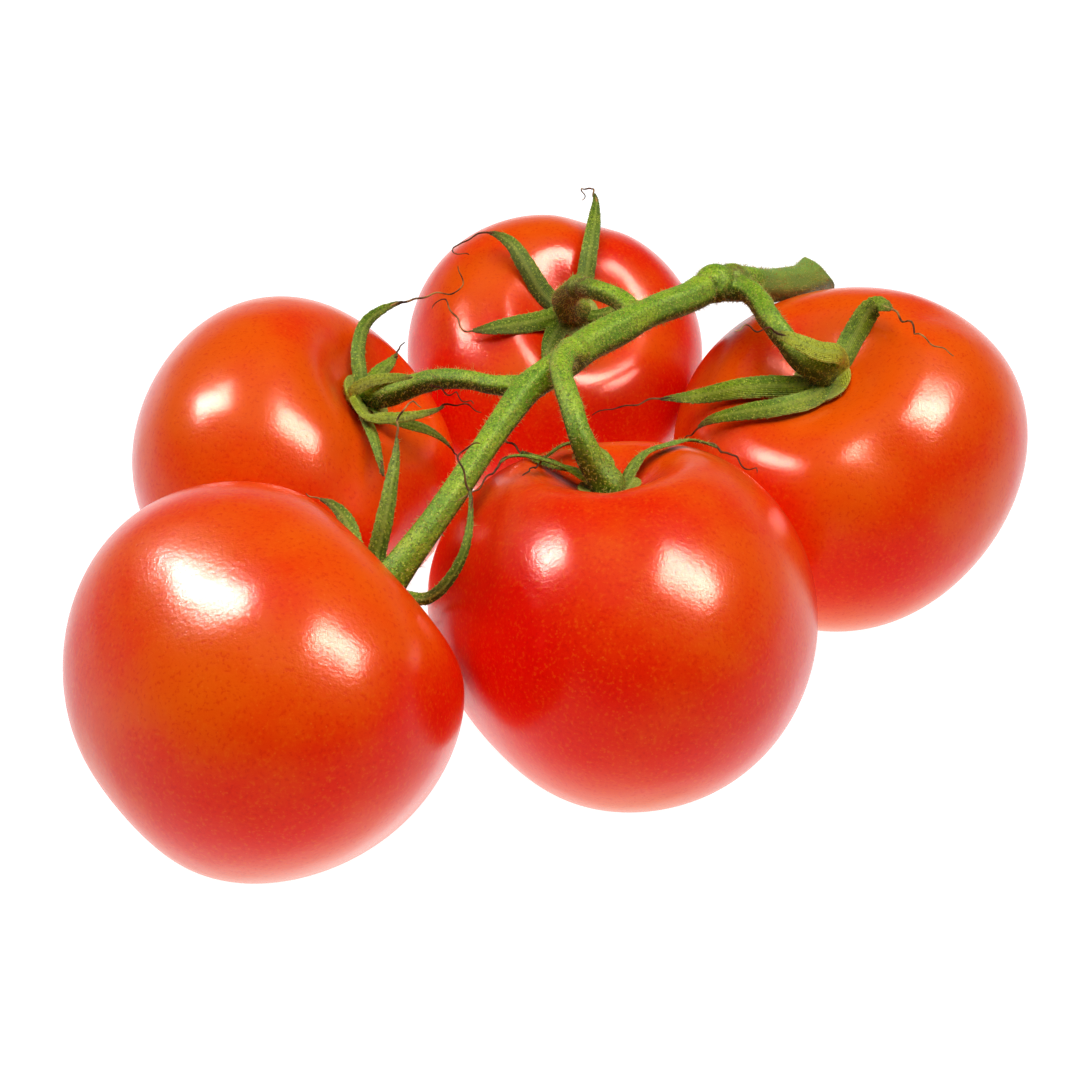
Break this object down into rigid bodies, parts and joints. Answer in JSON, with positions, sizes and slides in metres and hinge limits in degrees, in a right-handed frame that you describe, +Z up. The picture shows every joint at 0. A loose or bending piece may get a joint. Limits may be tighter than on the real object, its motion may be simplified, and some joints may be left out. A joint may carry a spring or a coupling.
{
  "type": "truss of tomatoes",
  "caption": "Bunch of round ripe tomatoes on their green vine, each with its stalk and star-shaped calyx, lying on a surface.",
  "frame": {"origin": "under the middle of the bunch, on the surface that it lies on", "axes": "+Z up; +X to the right and +Y away from the viewer as the bunch is pictured, with the picked end of the vine at +X +Y"},
  "size_m": [0.1823, 0.1892, 0.0716],
  "materials": {
    "tomato_skin": "smooth glossy ripe tomato skin with fine pale specks",
    "vine_green": "soft hairy green stem with dark and yellow speckle",
    "calyx_green": "matt green sepals with drying brown tips"
  },
  "bodies": {
    "root": {"vine": "vine_green", "calyx_1": "calyx_green", "calyx_2": "calyx_green", "calyx_3": "calyx_green", "calyx_4": "calyx_green", "calyx_5": "calyx_green", "fruit_1": "tomato_skin", "fruit_2": "tomato_skin", "fruit_3": "tomato_skin", "fruit_4": "tomato_skin", "fruit_5": "tomato_skin"}
  },
  "joints": []
}
